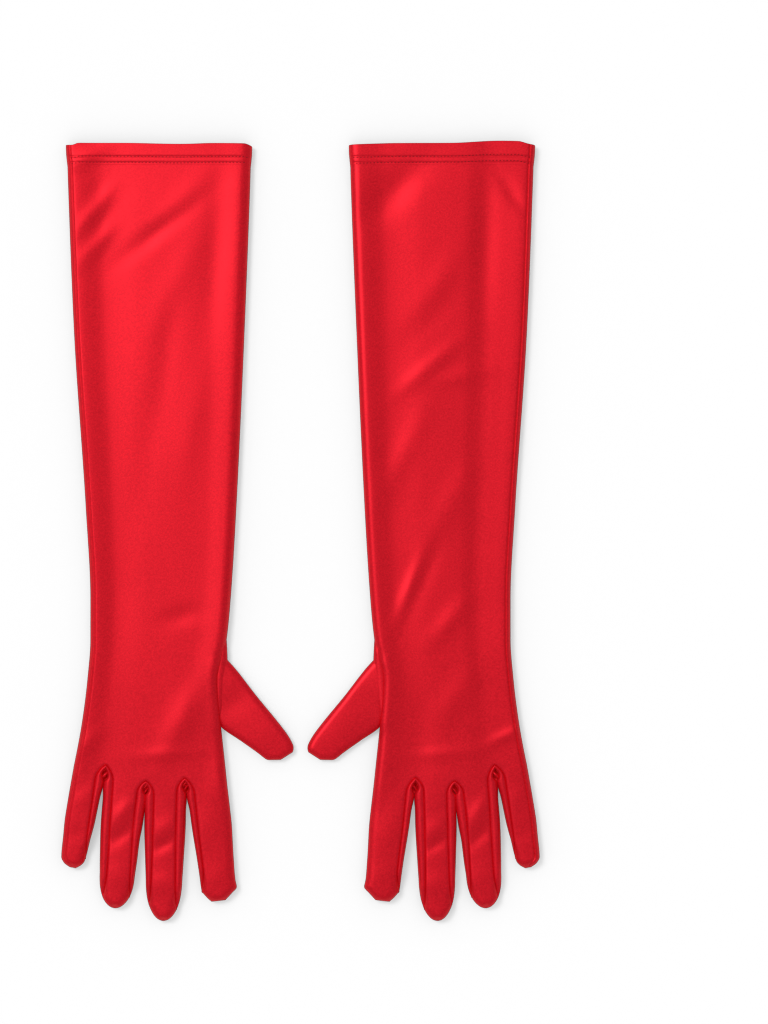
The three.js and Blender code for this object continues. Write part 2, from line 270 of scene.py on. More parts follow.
def distance_to(line, points):
    """How far each point is from a line of many short pieces."""
    flat = points.reshape(-1, 1, 2)
    start, step = line[:-1], np.diff(line, axis=0)
    t = np.clip(((flat - start) * step).sum(-1) / np.maximum((step**2).sum(-1), 1e-12), 0, 1)
    nearest = np.linalg.norm(flat - start - t[..., None] * step, axis=-1).min(axis=1)
    return nearest.reshape(points.shape[:-1])


def panel_columns():
    """Every column of the trank, as its strip and how far across the strip it is."""
    columns = [(0, k, 0.0) for k in range(len(EDGE_COLUMNS))]
    columns += [(0, len(EDGE_COLUMNS) - 1, q) for q in ease(np.linspace(0, 1, 13))[1:]]
    for strip in (1, 2, 3):
        columns += [(strip, 0, q) for q in spread(STRIP_COLUMNS)[1:]]
    return np.array(columns)


def strip_across(columns, left, right, strip):
    """Where a strip's columns lie, as a fraction of its width, given the width of that row."""
    width = right - left
    if strip:
        return columns[:, 2]
    fixed = np.array(EDGE_COLUMNS)[columns[:, 1].astype(int)] * np.minimum(1, width / 14)
    return blend(fixed / width, 1, columns[:, 2])


def place_of(side, across, along, height=0):
    """From a glove's own millimetres to metres in the shared frame."""
    return MIRROR[side] * (WRIST.x + across * MM), WRIST.y + along * MM, height * MM


def sew_panel(name, side, points, heights, material):
    """A cloth panel on a grid of points, given in the glove's millimetres."""
    rows, columns = points.shape[:2]
    bm = bmesh.new()
    bmesh.ops.create_grid(bm, x_segments=columns - 1, y_segments=rows - 1, size=0.5)
    panel = new_object(name, bm, material)
    grid = np.empty(len(panel.data.vertices) * 3)
    panel.data.vertices.foreach_get("co", grid)
    grid = grid.reshape(-1, 3)
    column = np.rint((grid[:, 0] + 0.5) * (columns - 1)).astype(int)
    row = np.rint((grid[:, 1] + 0.5) * (rows - 1)).astype(int)
    flat, height = points[row, column], heights[row, column]
    place = np.stack(place_of(side, flat[:, 0], flat[:, 1], height), axis=-1)
    panel.data.vertices.foreach_set("co", place.ravel())
    panel.data.update()
    return panel


def both_faces(side, points, back, palm, material):
    return [
        sew_panel("back", side, points, back, material),
        sew_panel("palm", side, points, palm, material),
    ]


def sew_together(name, panels, wall=WALL):
    """Joins panels along the edges that they share, and gives the cloth its thickness."""
    bm = bmesh.new()
    material = panels[0].data.materials[0]
    for panel in panels:
        bm.from_mesh(panel.data)
        bpy.data.objects.remove(panel)
    bmesh.ops.remove_doubles(bm, verts=bm.verts, dist=MERGE * MM)
    bmesh.ops.recalc_face_normals(bm, faces=bm.faces)
    for edge in bm.edges:
        edge.smooth = not edge.is_boundary
    sewn = new_object(name, bm, material)
    thickness = sewn.modifiers.new("cloth_thickness", "SOLIDIFY")
    thickness.thickness = wall * MM
    thickness.offset = -1
    return sewn


# Knit satin: fine wales along the glove, a granular sparkle, and a broad red sheen.
SATIN_DEEP = (0.70, 0.001, 0.014)
SATIN_BRIGHT = (0.95, 0.007, 0.024)


def noise(tree, place, scale, detail):
    node = tree.nodes.new("ShaderNodeTexNoise")
    node.inputs["Scale"].default_value = scale
    node.inputs["Detail"].default_value = detail
    tree.links.new(place, node.inputs["Vector"])
    return node.outputs["Fac"]


def arithmetic(tree, operation, *values):
    node = tree.nodes.new("ShaderNodeMath")
    node.operation = operation
    for socket, value in zip(node.inputs, values):
        if isinstance(value, (int, float)):
            socket.default_value = value
        else:
            tree.links.new(value, socket)
    return node.outputs["Value"]


def ranged(tree, value, from_low, from_high, to_low, to_high):
    node = tree.nodes.new("ShaderNodeMapRange")
    tree.links.new(value, node.inputs["Value"])
    limits = {"From Min": from_low, "From Max": from_high, "To Min": to_low, "To Max": to_high}
    for label, limit in limits.items():
        node.inputs[label].default_value = limit
    return node.outputs["Result"]


def make_knit():
    tree = bpy.data.node_groups.new("satin_knit", "ShaderNodeTree")
    for label in ("Deep", "Bright"):
        tree.interface.new_socket(label, in_out="INPUT", socket_type="NodeSocketColor")
    tree.interface.new_socket("Roughness", in_out="INPUT", socket_type="NodeSocketFloat")
    tree.interface.new_socket("Color", in_out="OUTPUT", socket_type="NodeSocketColor")
    tree.interface.new_socket("Roughness", in_out="OUTPUT", socket_type="NodeSocketFloat")
    tree.interface.new_socket("Height", in_out="OUTPUT", socket_type="NodeSocketFloat")
    given, out = tree.nodes.new("NodeGroupInput"), tree.nodes.new("NodeGroupOutput")
    place = tree.nodes.new("ShaderNodeTexCoord").outputs["Object"]
    wales = tree.nodes.new("ShaderNodeTexWave")
    wales.bands_direction = "X"
    wales.inputs["Scale"].default_value = 560
    wales.inputs["Distortion"].default_value = 1.2
    wales.inputs["Detail"].default_value = 1
    wales.inputs["Detail Scale"].default_value = 4
    tree.links.new(place, wales.inputs["Vector"])
    grain = arithmetic(tree, "MULTIPLY", noise(tree, place, 900, 2), 0.35)
    grain = arithmetic(tree, "MULTIPLY_ADD", noise(tree, place, 2400, 2), 0.5, grain)
    tone = arithmetic(tree, "MULTIPLY_ADD", noise(tree, place, 30, 2), 0.08, grain)
    mix = tree.nodes.new("ShaderNodeMix")
    mix.data_type = "RGBA"
    tree.links.new(ranged(tree, tone, 0.36, 0.58, 0, 1), mix.inputs["Factor"])
    tree.links.new(given.outputs["Deep"], mix.inputs[6])
    tree.links.new(given.outputs["Bright"], mix.inputs[7])
    tree.links.new(mix.outputs[2], out.inputs["Color"])
    change = ranged(tree, grain, 0.3, 0.6, -0.06, 0.06)
    roughness = arithmetic(tree, "ADD", given.outputs["Roughness"], change)
    height = arithmetic(tree, "MULTIPLY_ADD", wales.outputs["Fac"], 0.3, grain)
    tree.links.new(roughness, out.inputs["Roughness"])
    tree.links.new(height, out.inputs["Height"])
    return tree


satin_knit = make_knit()


def knit_cloth(name, deep, bright, roughness, metallic, sheen, bump):
    material = bpy.data.materials.new(name)
    material.use_nodes = True
    tree = material.node_tree
    surface = tree.nodes["Principled BSDF"]
    knit = tree.nodes.new("ShaderNodeGroup")
    knit.node_tree = satin_knit
    knit.inputs["Deep"].default_value = (*deep, 1)
    knit.inputs["Bright"].default_value = (*bright, 1)
    knit.inputs["Roughness"].default_value = roughness
    surface.inputs["Metallic"].default_value = metallic
    surface.inputs["Specular IOR Level"].default_value = 0.3
    surface.inputs["Specular Tint"].default_value = (1, 0.32, 0.3, 1)
    surface.inputs["Sheen Weight"].default_value = sheen
    surface.inputs["Sheen Roughness"].default_value = 0.4
    surface.inputs["Sheen Tint"].default_value = (1, 0.25, 0.25, 1)
    surface.inputs["Coat Weight"].default_value = 0.25
    surface.inputs["Coat Roughness"].default_value = 0.42
    relief = tree.nodes.new("ShaderNodeBump")
    relief.inputs["Strength"].default_value = bump
    relief.inputs["Distance"].default_value = 0.15 * MM
    tree.links.new(knit.outputs["Color"], surface.inputs["Base Color"])
    tree.links.new(knit.outputs["Roughness"], surface.inputs["Roughness"])
    tree.links.new(knit.outputs["Height"], relief.inputs["Height"])
    tree.links.new(relief.outputs["Normal"], surface.inputs["Normal"])
    return material


satin = knit_cloth("red_satin", SATIN_DEEP, SATIN_BRIGHT, 0.46, 0.6, 0.1, 0.3)


def hem_flare(along):
    """How much wider the hem is than the sleeve, on each side."""
    below = CUFF - along
    pinch = HEM_PINCH * np.exp(-(((HEM_MIDDLE - below) / 3) ** 2))
    return HEM_FLARE * ease((HEM_SHOWS_TO - below) / 5) - pinch


CUFF_EDGE = {  # how the cuff's edge waves, from the little-finger side to the thumb side
    "right": (
        [0, 0.035, 0.07, 0.3, 0.62, 0.8, 0.96, 1],
        [-0.8, -1.0, 0.2, 0.2, -0.4, 0.1, -0.1, -1.6],
    ),
    "left": ([0, 0.04, 0.09, 0.2, 0.45, 0.75, 1], [-0.9, -0.2, 1.3, 1.5, 0.2, 0.1, -0.8]),
}


def sleeve_points(side, levels, columns):
    """The outline and columns of the sleeve, row by row from the cuff down."""
    left = smooth(levels, EDGE_ROWS, LITTLE_EDGE) - hem_flare(levels)
    right = smooth(levels, EDGE_ROWS, THUMB_EDGE) + hem_flare(levels)
    rows = []
    for level, low, high in zip(levels, left, right):
        across = []
        for strip in range(4):
            part = columns[columns[:, 0] == strip]
            start, end = blend(low, high, STRIPS[strip]), blend(low, high, STRIPS[strip + 1])
            across.append(blend(start, end, strip_across(part, start, end, strip)))
        across = np.concatenate(across)
        wave = smooth((across - low) / (high - low), *CUFF_EDGE[side])
        along = level + wave * ease((level - CUFF + 40) / 40)
        rows.append(np.stack([across, along], axis=-1))
    return np.array(rows)


def sides_of_sleeve():
    """The two edges as lines, to measure from."""
    levels = np.linspace(CUFF + 30, -90, 180)
    left = smooth(levels, EDGE_ROWS, LITTLE_EDGE) - hem_flare(levels)
    right = smooth(levels, EDGE_ROWS, THUMB_EDGE) + hem_flare(levels)
    return np.stack([left, levels], axis=-1), np.stack([right, levels], axis=-1)


little_side, thumb_side = sides_of_sleeve()


def back_relief(side, points, from_left, from_right):
    """The crest and soft folds of the back."""
    along = points[..., 1]
    share = from_left / np.maximum(from_left + from_right, 1)
    crest = smooth(share, *CREST[side])
    crest = crest * blend(1, CREST_ON_HAND, ease((30 - along) / 90))
    crest = crest * blend(1, CREST_AT_HEM, ease((along - CUFF + 30) / 25))
    return crest + folds_at(FOLDS[side], points[..., 0], along)


def trank_heights(side, points, crotches=()):
    """Heights of the back and the palm, with a valley where fourchettes are sewn to them."""
    along = points[..., 1]
    from_left = distance_to(little_side, points)
    from_right = distance_to(thumb_side, points)
    full = dome(from_left, ROLL) * dome(from_right, ROLL)
    for lines in crotches:
        near = np.minimum(*(distance_to(line, points) for line in lines))
        full = full * blend(SEWN_LEVEL, 1, dome(near, SEWN_REACH))
    full[:, [0, -1]] = 0  # the back meets the palm along both edges
    to_hand = ease((40 - along) / 60)
    middle = blend(SLEEVE_MIDDLE, HAND_MIDDLE, to_hand)
    loft = blend(SLEEVE_LOFT, HAND_LOFT, to_hand)
    over_thumb = np.exp(-((from_right / THUMB_REACH) ** 2))
    over_thumb = over_thumb * ease((along + 58) / 9) * ease((-6 - along) / 9)
    middle = middle + THUMB_LIFT * over_thumb
    loft = loft - THUMB_THINNING * over_thumb
    back = middle + (loft + back_relief(side, points, from_left, from_right)) * full
    palm = middle - loft * full
    seam = SEAM_DEPTH[side] * np.exp(-(((from_left - SEAM_FROM_EDGE) / SEAM_HALF_WIDTH) ** 2))
    below = CUFF - along
    rows = STITCH_ROWS.values()
    grooves = sum(np.exp(-(((row - below) / GROOVE_HALF_WIDTH) ** 2)) for row in rows)
    step = HEM_STEP * ease(HEM_STEP_BELOW - below)
    back = back - seam + (step - STITCH_GROOVE * grooves) * full
    return back, palm + PALM_GROOVE * grooves * full


columns = panel_columns()
hem_levels = np.linspace(CUFF, CUFF - HEM_SHOWS_TO, 36)[:-1]
sleeve_levels = np.concatenate([hem_levels, np.linspace(CUFF - HEM_SHOWS_TO, SLEEVE_END, 120)])
for side in MIRROR:
    points = sleeve_points(side, sleeve_levels, columns)
    back, palm = trank_heights(side, points)
    sleeve = sew_together(f"{side}_sleeve", both_faces(side, points, back, palm, satin))
    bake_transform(sleeve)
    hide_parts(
        f"{side}_upper_sleeve_back",
        f"{side}_upper_sleeve_palm",
        f"{side}_lower_sleeve_back",
        f"{side}_lower_sleeve_palm",
    )

# ---- Fingers -------------------------------------------------------------------------------------
# The back and palm of each finger are cut in one with the trank. The little and index fingers have
# one folded edge; every other edge is sewn to a fourchette, and the seam runs round each crotch in
# an arch.

# Each point says how far it is along the finger from its knuckle, and across towards the thumb. An
# outline's first point is the knuckle line's own. A seam begins with how far across its arch ends.
ARCH_LENGTH = 8.2
ARCH_BLUNTNESS = 0.72  # 1 gives a pointed arch, and less a rounder one
LEAN_LENGTH = 16  # over which an arch that follows a slanting knuckle line straightens up
STRIP_END = 13  # the last stretch of a fourchette, where it runs out into the fingertip
STRIP_AT_CROTCH = 2.3  # how wide a fourchette's leg is where its arch begins
CROTCH_FILL, FILL_AT, FILL_REACH = 0.85, 10.5, 6  # below the crotch, the legs press on each other
KNUCKLE_BEND = 14  # a stretch along a finger from its knuckle; its ends are stored, but nothing bends the cloth
FINGER_ROOT = 18  # how far the relief of the back of the hand runs out along a finger
FINGERS = {
    "little": {
        "low": [(16, -9.4), (32, -9.1), (43, -8.2), (56, -7.0), (59.2, -4.6), (61, -1.0)],
        "high": [(16, 9.4), (32, 9.1), (43, 8.2), (56, 7.0), (58.7, 5.4), (61, 2.6)],
        "high_seam": [4.7, (30, 5.7), (54, 7.15)],
    },
    "ring": {
        "low": [(0, -12.4), (28, -13.0), (53, -11.85), (62, -11.2)],
        "high": [(22, 13.0), (31, 12.5), (41, 11.4), (53, 10.85), (62, 10.2)],
        "tip": 82,
        "low_seam": [-7.2, (30, -7.0), (61, -6.5), (76, -8.0)],
        "high_seam": [7.6, (30, 7.0), (64, 7.6), (75, 7.8)],
    },
    "middle": {
        "low": [(26, -12.6), (50, -11.7), (62, -11.1)],
        "high": [(26, 12.6), (50, 11.7), (62, 11.1)],
        "tip": 86.4,
        "low_seam": [-6.7, (30, -7.0), (61, -7.5), (77, -8.5)],
        "high_seam": [6.9, (30, 6.7), (74, 7.2), (79, 7.8)],
    },
    "index": {
        "low": [(22, -12.0), (47, -11), (60, -10.6), (64.4, -10.3), (68.2, -8.2), (71.7, -5.2)],
        "high": [(22, 12.2), (47, 10.9), (60, 10.4), (64.6, 10.8), (68, 7.4), (71.7, 3.1)],
        "low_seam": [-7.6, (30, -7.9), (52, -7.8), (65, -10.2)],
    },
}
FINGER_FOLDS = {  # along, across, turn, half length, half width, rise
    "little": [(18, 0, 140, 10, 5, 0.3), (40, 1, 110, 9, 5, -0.3)],
    "ring": [(24, 0, 145, 11, 4.5, 0.8), (38, 0, 130, 10, 4, -0.8), (62, 1, 110, 9, 7, 0.4)],
    "middle": [(30, 0, 125, 9, 5, 0.5), (40, 0, 120, 9, 3.5, -0.8), (63, 0, 95, 9, 6, 0.5)],
    "index": [(26, -2, 150, 14, 7, 0.3), (56, 1, 120, 12, 6, 0.25)],
}
MIDDLE_OF_TIP = {"ring": -0.5, "middle": 0.0}
FINGER_CROWN = 0.5  # how much lower the back is near a finger's seams than along its middle
RUN = spread(84)


def knuckle_frame(finger):
    knuckle = JOINTS[f"right_{finger}_knuckle"]
    origin = (np.array(knuckle["pos_m"][:2]) - np.array(WRIST[:2])) / MM
    across = np.array(knuckle["axis"][:2])
    return origin, np.array([across[1], -across[0]]), across


def outline(spec, edge, along):
    """How far across a finger's outline is."""
    table = np.array([spec[f"{edge}_root"], *spec[edge]])
    across = smooth(along, table[:, 0], table[:, 1])
    if "tip" not in spec:
        return across
    round_from, centre = table[-1, 0], spec["centre"]
    rounding = np.clip(1 - ((along - round_from) / (spec["tip"] - round_from)) ** 2, 0, 1)
    rounded = centre + (table[-1, 1] - centre) * np.sqrt(rounding)
    return np.where(along > round_from, rounded, across)


def side_of_finger(spec, edge):
    """One side of a finger's back, from the hand to the tip: its line, its strip and its height."""
    start, start_across = spec[f"{edge}_root"]
    end = spec.get("tip", spec[edge][-1][0])
    along = blend(start, end, RUN)
    outer = outline(spec, edge, along)
    if f"{edge}_seam" not in spec:
        none = np.zeros_like(along)
        return {"along": along, "across": outer, "strip": none, "lift": none}
    sign = 1 if edge == "high" else -1
    outer = outer + sign * CROTCH_FILL * np.exp(-(((along - start - FILL_AT) / FILL_REACH) ** 2))
    arch_end, *points = spec[f"{edge}_seam"]
    seam = np.array([(start + ARCH_LENGTH, arch_end), *points])
    line = smooth(along, seam[:, 0], seam[:, 1])
    arch = np.sin(np.clip((along - start) / ARCH_LENGTH, 0, 1) * math.pi / 2) ** ARCH_BLUNTNESS
    line = np.where(along < seam[0, 0], blend(start_across, arch_end, arch), line)
    across = np.where(along < seam[-1, 0], sign * np.minimum(sign * line, sign * outer), outer)
    strip = blend(STRIP_AT_CROTCH, np.abs(outer - across), ease((along - start) / 9))
    lift = ease((seam[-1, 0] - along) / STRIP_END)
    return {"along": along, "across": across, "strip": strip, "lift": lift, "end": seam[-1, 0]}


finger_sides = {}
for strip, (finger, spec) in enumerate(FINGERS.items()):
    spec["centre"] = MIDDLE_OF_TIP.get(finger, 0.0)
    origin, ahead, across = knuckle_frame(finger)
    for edge, knuckle in (("low", strip), ("high", strip + 1)):
        root = np.array([KNUCKLES_ACROSS[knuckle], KNUCKLES_ALONG[knuckle]]) - origin
        spec[f"{edge}_root"] = (root @ ahead, root @ across)
    (low_along, low_across), (high_along, high_across) = spec["low_root"], spec["high_root"]
    slant = (high_along - low_along) / (high_across - low_across)
    for edge, sign in (("low", 1), ("high", -1)):
        found = side_of_finger(spec, edge)
        inward = np.abs(found["across"] - found["across"][0])
        fade = 1 - ease((found["along"] - found["along"][0] - ARCH_LENGTH) / LEAN_LENGTH)
        found["along"] = found["along"] + max(sign * slant, 0) * inward * fade
        found["line"] = origin + found["along"][:, None] * ahead + found["across"][:, None] * across
        found["ahead"] = ahead
        finger_sides[finger, edge] = found

# The outer lines of the glove go on down the little and index fingers.
little_line = finger_sides["little", "low"]["line"]
index_line = finger_sides["index", "high"]["line"]
little_side = np.concatenate([little_side[little_side[:, 1] > -72], little_line])
thumb_side = np.concatenate([thumb_side[thumb_side[:, 1] > -84], index_line])
finger_columns = {}
for strip, finger in enumerate(FINGERS):
    part = columns[columns[:, 0] == strip]
    finger_columns[finger] = np.concatenate([[(strip, 0, 0.0)], part]) if strip else part

for side in MIRROR:
    for strip, finger in enumerate(FINGERS):
        origin, ahead, across = knuckle_frame(finger)
        low, high = finger_sides[finger, "low"], finger_sides[finger, "high"]
        points = []
        for k in range(len(RUN)):
            width = np.linalg.norm(high["line"][k] - low["line"][k])
            share = strip_across(finger_columns[finger], 0, max(width, 0.01), strip)
            points.append(blend(low["line"][k], high["line"][k], share[:, None]))
        points = np.array(points)
        full = np.ones(points.shape[:2])
        from_left, from_right = distance_to(little_side, points), distance_to(thumb_side, points)
        for edge in (low, high):
            lift = SEWN_LEVEL * edge["lift"][:, None]
            reach = blend(ROLL, SEWN_REACH, edge["lift"])[:, None]
            full = full * blend(lift, 1, dome(distance_to(edge["line"], points), reach))
        tip = np.array([low["line"][-1], high["line"][-1]])
        full = full * dome(distance_to(tip, points), ROLL)
        local = points - origin
        u, v = local @ ahead, local @ across
        root = ease((u - u[0]) / FINGER_ROOT)
        turned = [(*fold[:2], MIRROR[side] * fold[2], *fold[3:]) for fold in FINGER_FOLDS[finger]]
        crown = -FINGER_CROWN * (v / 9) ** 2 + folds_at(turned, u, v)
        relief = blend(back_relief(side, points, from_left, from_right), crown, root)
        back = HAND_MIDDLE + (HAND_LOFT + relief) * full
        palm = HAND_MIDDLE - HAND_LOFT * full
        if finger == "little":
            width = np.linalg.norm(high["line"] - low["line"], axis=-1)[:, None]
            shrink = np.minimum(1, width / 14)
            from_seam = from_left / np.maximum(shrink, 0.05) - SEAM_FROM_EDGE
            groove = SEAM_DEPTH[side] * shrink * np.exp(-((from_seam / SEAM_HALF_WIDTH) ** 2))
            back = back - groove * np.minimum(1, 2 * full)
        cloth = sew_together(f"{side}_{finger}_cloth", both_faces(side, points, back, palm, satin))
        start = origin + ahead * max(low["along"][0], high["along"][0])
        end = start + ahead * KNUCKLE_BEND
        finger_sides[finger, "bend"] = (start, end)
        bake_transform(cloth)
        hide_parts(f"{side}_{finger}_back", f"{side}_{finger}_palm")

# ---- Trank of the hand ---------------------------------------------------------------------------
# The same piece of satin goes on over the wrist and the back of the hand, and ends at the knuckles.
# Between the fingers its edge is sewn round the top of each fourchette.
HAND_ROWS = 112
CROTCHES = (("little", "ring"), ("ring", "middle"), ("middle", "index"))
crotch_lines = [
    (finger_sides[first, "high"]["line"], finger_sides[second, "low"]["line"])
    for first, second in CROTCHES
]

for side in MIRROR:
    rows = []
    run = np.linspace(0, 1, HAND_ROWS)
    run = blend(run, np.sin(run * math.pi / 2), 0.6)  # the rows lie closer near the knuckles
    for g in run:
        low = smooth(blend(SLEEVE_END, KNUCKLES_ALONG[0], g), EDGE_ROWS, LITTLE_EDGE)
        high = smooth(blend(SLEEVE_END, KNUCKLES_ALONG[-1], g), EDGE_ROWS, THUMB_EDGE)
        row = []
        for strip in range(4):
            part = columns[columns[:, 0] == strip]
            start, end = blend(low, high, STRIPS[strip]), blend(low, high, STRIPS[strip + 1])
            share = strip_across(part, start, end, strip)
            knuckle = blend(KNUCKLES_ALONG[strip], KNUCKLES_ALONG[strip + 1], share)
            row.append(np.stack([blend(start, end, share), blend(SLEEVE_END, knuckle, g)], axis=-1))
        rows.append(np.concatenate(row))
    points = np.array(rows)
    back, palm = trank_heights(side, points, crotch_lines)
    hand = sew_together(f"{side}_hand_cloth", both_faces(side, points, back, palm, satin))
    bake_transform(hand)
    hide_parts(f"{side}_hand_back", f"{side}_hand_palm")

# ---- Fourchettes ---------------------------------------------------------------------------------
# A fourchette is a narrow strip of satin between two fingers, folded into a fork at the crotch.
# Sewn in, its two legs stand up as rounded strips along the sides of the fingers.
LAST_TURN = math.pi - math.asin(SEWN_LEVEL)
ROUND = np.linspace(LAST_TURN, -LAST_TURN, 17)
BULGE = 1 / (1 - math.cos(LAST_TURN))
TUCK_UNDER = 0.25  # how far a leg's edges reach in under the finger's cloth
NEIGHBOUR = {("little", "high"): "ring", ("ring", "low"): "little", ("ring", "high"): "middle"}
NEIGHBOUR |= {("middle", "low"): "ring", ("middle", "high"): "index", ("index", "low"): "middle"}

for (finger, edge), other in NEIGHBOUR.items():
    found = finger_sides[finger, edge]
    sign = 1 if edge == "high" else -1
    far = finger_sides[other, "low" if edge == "high" else "high"]
    stop = int(np.searchsorted(found["along"], found["end"])) + 1
    line = found["line"][:stop]
    step = np.gradient(line, axis=0)
    step = step / np.linalg.norm(step, axis=1)[:, None]
    out = np.stack([-step[:, 1], step[:, 0]], axis=-1) * sign
    shared = found["ahead"] + far["ahead"]
    shared = shared / np.linalg.norm(shared)
    out = blend(shared, out, ease(np.arange(stop) / 8)[:, None])
    out = out / np.linalg.norm(out, axis=1)[:, None]
    width, lift = np.maximum(found["strip"][:stop], 0.05), found["lift"][:stop]
    swell = width[:, None] * (1 - BULGE + BULGE * np.cos(ROUND)) - TUCK_UNDER * lift[:, None]
    points = line[:, None, :] + out[:, None, :] * swell[..., None]
    heights = HAND_MIDDLE + HAND_LOFT * np.maximum(lift, 0.02)[:, None] * np.sin(ROUND)
    for side in MIRROR:
        leg = sew_together(
            f"{side}_{finger}_fourchette_by_{other}_strip",
            [sew_panel("strip", side, points, heights, satin)],
        )
        start, end = finger_sides[finger, "bend"]
        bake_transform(leg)
        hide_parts(f"{side}_{finger}_fourchette_by_{other}")

# ---- Thumb ---------------------------------------------------------------------------------------
# The thumb is a piece of its own, set into a hole in the palm. It lies lower than the hand, and its
# root goes in under the edge of the back.
THUMB_ORIGIN = np.array([38.5, -32.0])
THUMB_TURN = math.radians(-44.5)
THUMB_MIDDLE, THUMB_LOFT = 3.2, 3.05
THUMB_ROLL = 3.6
THUMB_FOLDS = [(8, 0, 80, 16, 8, -0.6), (36, 0, 80, 14, 12, 0.4)]
THUMB_LOW = [(13.2, -15.3), (28, -12.9), (40.5, -10.9), (46.4, -10.2), (49.9, -7.3), (52.9, -4.2)]
THUMB_HIGH = [(-12.5, 15.9), (16, 12.7), (43.6, 9.5), (51.6, 7.3), (53.6, 5.9), (54.8, 4.0)]
TUCK = 7  # how far the root goes in under the back
ahead = np.array([math.cos(THUMB_TURN), math.sin(THUMB_TURN)])
across = np.array([-ahead[1], ahead[0]])
run = spread(70)
sides_of_thumb = []
for table in (np.array(THUMB_LOW), np.array(THUMB_HIGH)):
    table = np.concatenate([[table[0] - (TUCK, 0)], table])
    reach = np.concatenate([[0], np.cumsum(np.linalg.norm(np.diff(table, axis=0), axis=1))])
    at = run * reach[-1]
    at_along, at_across = smooth(at, reach, table[:, 0]), smooth(at, reach, table[:, 1])
    sides_of_thumb.append(THUMB_ORIGIN + at_along[:, None] * ahead + at_across[:, None] * across)
low, high = sides_of_thumb
points = blend(low[:, None], high[:, None], spread(34)[None, :, None])
rim = np.concatenate([low, high[::-1]])
full = dome(distance_to(rim, points), THUMB_ROLL)
local = points - THUMB_ORIGIN
u, v = local @ ahead, local @ across
sunk = ease((38 - points[..., 0]) / 5)  # the root is flattened under the edge of the back
crown = -0.4 * (v / 11) ** 2
back = THUMB_LOFT * blend(1, 0.6, sunk) + crown + folds_at(THUMB_FOLDS, u, v)
palm = THUMB_LOFT * blend(1, 0.3, sunk)
back, palm = THUMB_MIDDLE + back * full, THUMB_MIDDLE - palm * full
for side in MIRROR:
    thumb = sew_together(f"{side}_thumb_cloth", both_faces(side, points, back, palm, satin))
    x, y, _ = JOINTS[f"{side}_thumb_swing"]["pos_m"]
    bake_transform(thumb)
    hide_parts(f"{side}_thumb_back", f"{side}_thumb_palm")

# ---- Crotch webs ---------------------------------------------------------------------------------
# Where a fourchette folds into a fork, its cloth is gathered in the crotch, and sewn in under the
# arch: a hollow, crossed by one small diagonal pleat.
WEB_START, WEB_END, WEB_HALF_WIDTH = 1.4, 11, 3.4  # below the top of the arch
WEB_FLOOR, WEB_SIDE_RISE, WEB_END_RISE = 2.6, 0.7, 0.8
PLEAT_TURN = math.radians(-38)
PLEAT_AT, PLEAT_RISE, PLEAT_HALF_LENGTH, PLEAT_HALF_WIDTH = 6.0, 4.0, 4.5, 1.0
for first, second in CROTCHES:
    one, two = finger_sides[first, "high"], finger_sides[second, "low"]
    top = one["line"][0]
    down = one["ahead"] + two["ahead"]
    down = down / np.linalg.norm(down)
    sideways = np.array([-down[1], down[0]])
    u = np.linspace(WEB_START, WEB_END, 34)[:, None]
    v = np.linspace(-WEB_HALF_WIDTH, WEB_HALF_WIDTH, 26) * blend(1, 0.4, ease((u - 6) / 4))
    points = top + u[..., None] * down + v[..., None] * sideways
    lengthwise = (u - PLEAT_AT) * math.cos(PLEAT_TURN) + v * math.sin(PLEAT_TURN)
    crosswise = v * math.cos(PLEAT_TURN) - (u - PLEAT_AT) * math.sin(PLEAT_TURN)
    pleat = np.exp(-((crosswise / PLEAT_HALF_WIDTH) ** 2) - (lengthwise / PLEAT_HALF_LENGTH) ** 2)
    heights = WEB_FLOOR + WEB_SIDE_RISE * (v / WEB_HALF_WIDTH) ** 2
    heights = heights + PLEAT_RISE * pleat + WEB_END_RISE * ease((u - 8) / 2)
    for side in MIRROR:
        panel = sew_panel("web", side, points, heights, satin)
        web = sew_together(f"{side}_{first}_{second}_web", [panel])
        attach(web, f"{side}_hand")
        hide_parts(f"{side}_fourchette_fork_{first}_{second}")

# ---- Thumb seam ----------------------------------------------------------------------------------
# Beside the hand's edge, a sliver of the palm shows where the thumb is sewn in.
SLIVER_INNER = [(37.5, 5), (36.5, -5), (34, -14), (32, -24), (32.5, -35), (34.5, -46), (36, -53)]
SLIVER_OUTER = [(40.3, 5), (40.9, -5), (41.2, -13), (40.6, -24), (39.4, -35), (37.9, -46), (37, -53)]
SLIVER_FOOT, SLIVER_RISE, SLIVER_FULL_WIDTH = 3.6, 3.0, 5
run = spread(40)
edges = []
for table in (np.array(SLIVER_INNER, float), np.array(SLIVER_OUTER, float)):
    at = np.linspace(0, 1, len(table))
    edges.append(np.stack([smooth(run, at, table[:, 0]), smooth(run, at, table[:, 1])], axis=-1))
around = np.linspace(0, math.pi, 13)
share = (1 - np.cos(around)) / 2
points = blend(edges[0][:, None], edges[1][:, None], share[None, :, None])
width = np.linalg.norm(edges[1] - edges[0], axis=1)[:, None]
heights = SLIVER_FOOT + SLIVER_RISE * np.sin(around) * np.minimum(1, width / SLIVER_FULL_WIDTH)
for side in MIRROR:
    sliver = sew_together(f"{side}_thumb_seam", [sew_panel("sliver", side, points, heights, satin)])
    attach(sliver, f"{side}_hand")

